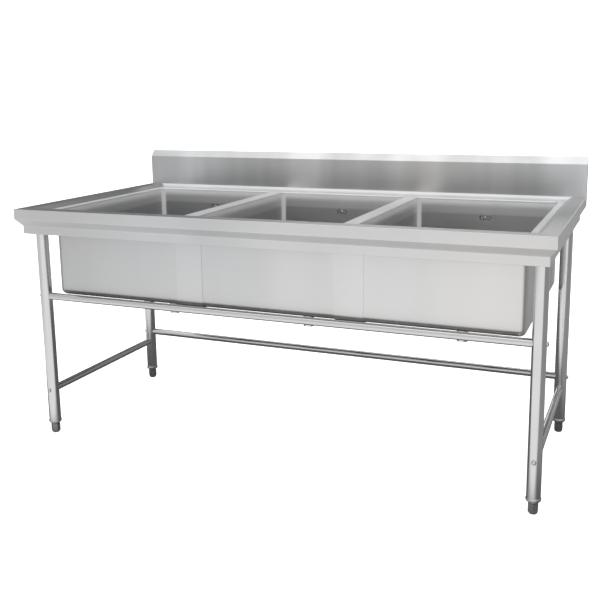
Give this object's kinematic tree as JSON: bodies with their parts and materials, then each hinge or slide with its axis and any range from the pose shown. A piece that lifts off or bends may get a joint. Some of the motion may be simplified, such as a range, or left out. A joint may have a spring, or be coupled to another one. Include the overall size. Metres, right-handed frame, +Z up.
{
  "type": "three compartment sink",
  "caption": "Stainless steel kitchen sink: a raised-rim top with deep wash bowls side by side, a low backsplash, and a tube frame on legs with adjustable feet",
  "frame": {"origin": "on the floor under the middle of the sink's footprint", "axes": "+X to the right along the front, +Y back to the wall, +Z up"},
  "size_m": [1.8, 0.9, 0.975],
  "materials": {
    "sheet_steel": "satin stainless sheet with a fine grain",
    "frame_steel": "plain folded stainless section",
    "tube_steel": "polished stainless tube",
    "socket_steel": "turned stainless socket",
    "fastener_steel": "smooth stainless fasteners",
    "plug_steel": "turned steel plug inside the rail ends",
    "foot_steel": "satin stainless adjustable foot",
    "drain_metal": "bright polished drain fitting",
    "overflow_plastic": "black moulded plastic",
    "gasket_rubber": "black sealing rubber"
  },
  "bodies": {
    "root": {"sink_top": "sheet_steel", "backsplash": "sheet_steel", "backsplash_end_left": "sheet_steel", "backsplash_end_right": "sheet_steel", "bowl_cover_left": "sheet_steel", "bowl_cover_right": "sheet_steel", "bowl_left": "sheet_steel", "bowl_middle": "sheet_steel", "bowl_right": "sheet_steel", "front_channel": "frame_steel", "rear_channel": "frame_steel", "left_channel": "frame_steel", "right_channel": "frame_steel", "bowl_support_bar": "frame_steel", "front_rail": "tube_steel", "rear_rail": "tube_steel", "left_rail": "tube_steel", "right_rail": "tube_steel", "leg_front_left": "tube_steel", "leg_front_right": "tube_steel", "leg_rear_left": "tube_steel", "leg_rear_right": "tube_steel", "leg_socket_front_left": "socket_steel", "leg_socket_front_right": "socket_steel", "leg_socket_rear_left": "socket_steel", "leg_socket_rear_right": "socket_steel", "rail_bolts": "fastener_steel", "socket_screws": "fastener_steel", "overflow_screws": "fastener_steel", "rail_end_plugs": "plug_steel", "foot_insert_front_left": "foot_steel", "foot_insert_front_right": "foot_steel", "foot_insert_rear_left": "foot_steel", "foot_insert_rear_right": "foot_steel", "drain_body_left": "drain_metal", "tailpiece_left": "drain_metal", "overflow_plate_left": "drain_metal", "overflow_elbow_left": "overflow_plastic", "overflow_pipe_left": "overflow_plastic", "drain_body_middle": "drain_metal", "tailpiece_middle": "drain_metal", "overflow_plate_middle": "drain_metal", "overflow_elbow_middle": "overflow_plastic", "overflow_pipe_middle": "overflow_plastic", "drain_body_right": "drain_metal", "tailpiece_right": "drain_metal", "overflow_plate_right": "drain_metal", "overflow_elbow_right": "overflow_plastic", "overflow_pipe_right": "overflow_plastic", "drain_locknuts": "drain_metal", "tailpiece_nuts": "drain_metal", "drain_gaskets": "gasket_rubber"},
    "foot_front_left": {"foot_front_left": "foot_steel"},
    "foot_front_right": {"foot_front_right": "foot_steel"},
    "foot_rear_left": {"foot_rear_left": "foot_steel"},
    "foot_rear_right": {"foot_rear_right": "foot_steel"},
    "basket_left": {"basket_left": "drain_metal"},
    "basket_middle": {"basket_middle": "drain_metal"},
    "basket_right": {"basket_right": "drain_metal"}
  },
  "joints": [
    {"name": "foot_front_left_adjust", "type": "slide", "parent": "root", "child": "foot_front_left", "axis": [0, 0, -1], "range_m": [0, 0.025]},
    {"name": "foot_front_right_adjust", "type": "slide", "parent": "root", "child": "foot_front_right", "axis": [0, 0, -1], "range_m": [0, 0.025]},
    {"name": "foot_rear_left_adjust", "type": "slide", "parent": "root", "child": "foot_rear_left", "axis": [0, 0, -1], "range_m": [0, 0.025]},
    {"name": "foot_rear_right_adjust", "type": "slide", "parent": "root", "child": "foot_rear_right", "axis": [0, 0, -1], "range_m": [0, 0.025]},
    {"name": "basket_left_lift", "type": "slide", "parent": "root", "child": "basket_left", "axis": [0, 0, 1], "range_m": [0, 0.35]},
    {"name": "basket_middle_lift", "type": "slide", "parent": "root", "child": "basket_middle", "axis": [0, 0, 1], "range_m": [0, 0.35]},
    {"name": "basket_right_lift", "type": "slide", "parent": "root", "child": "basket_right", "axis": [0, 0, 1], "range_m": [0, 0.35]}
  ]
}
